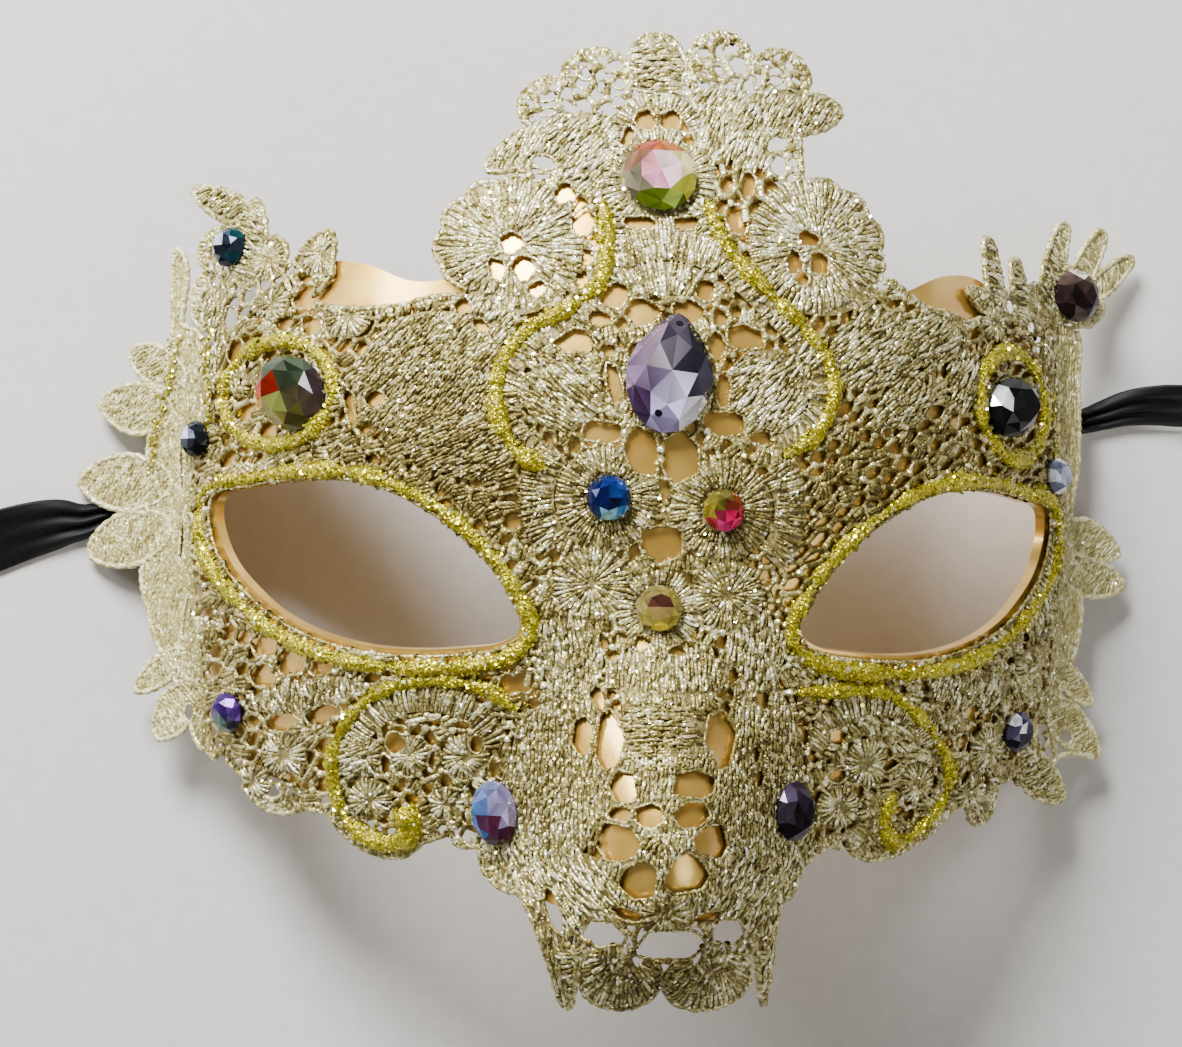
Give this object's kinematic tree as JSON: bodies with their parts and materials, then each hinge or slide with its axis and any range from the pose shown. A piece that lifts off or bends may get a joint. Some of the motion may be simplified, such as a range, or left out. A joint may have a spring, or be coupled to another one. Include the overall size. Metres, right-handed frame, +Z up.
{
  "type": "lace masquerade mask",
  "caption": "Lace masquerade half mask: a moulded gold face shell under cut-through lace, with glitter scrolls, cut stones and black ribbon ties.",
  "frame": {"origin": "on the table under the middle of the mask's box, ties left out, with the mask lying face up on its temple edges", "axes": "+Z up out of the face, +Y from the nose towards the crown, +X from the mask's left temple in the picture to the right one"},
  "size_m": [0.2741, 0.1446, 0.0752],
  "materials": {
    "shell": "satin gold",
    "lace": "metallic thread",
    "glitter": "gold glitter",
    "stone_iris": "cut, iridescent",
    "stone_lilac": "cut, foiled",
    "stone_blue": "cut, foiled",
    "stone_red": "cut, iridescent",
    "stone_yellow": "cut, foiled",
    "stone_olive": "cut, iridescent",
    "stone_dark": "cut, dark metallic",
    "stone_clear": "cut, clear foiled",
    "stone_violet": "cut, iridescent",
    "ribbon": "satin"
  },
  "bodies": {
    "root": {"mask_shell": "shell", "lace_crown": "lace", "lace_forehead": "lace", "lace_nose": "lace", "lace_brow_left": "lace", "lace_brow_right": "lace", "lace_cheek_left": "lace", "lace_cheek_right": "lace", "lace_corner_left": "lace", "lace_corner_right": "lace", "lace_side_left": "lace", "lace_side_right": "lace", "glitter_eye_left": "glitter", "glitter_eye_right": "glitter", "glitter_scroll_left": "glitter", "glitter_scroll_right": "glitter", "glitter_curl_left": "glitter", "glitter_curl_right": "glitter", "glitter_temple_left": "glitter", "glitter_temple_right": "glitter", "stone_crown": "stone_iris", "stone_drop": "stone_lilac", "stone_blue": "stone_blue", "stone_red": "stone_red", "stone_bridge": "stone_yellow", "stone_temple_left": "stone_olive", "stone_temple_right": "stone_dark", "stone_corner_left": "stone_dark", "stone_corner_right": "stone_dark", "stone_eye_left": "stone_dark", "stone_eye_right": "stone_clear", "stone_cheek_left": "stone_violet", "stone_cheek_right": "stone_violet", "stone_nose_left": "stone_violet", "stone_nose_right": "stone_dark", "ribbon_left": "ribbon", "ribbon_right": "ribbon"}
  },
  "joints": []
}
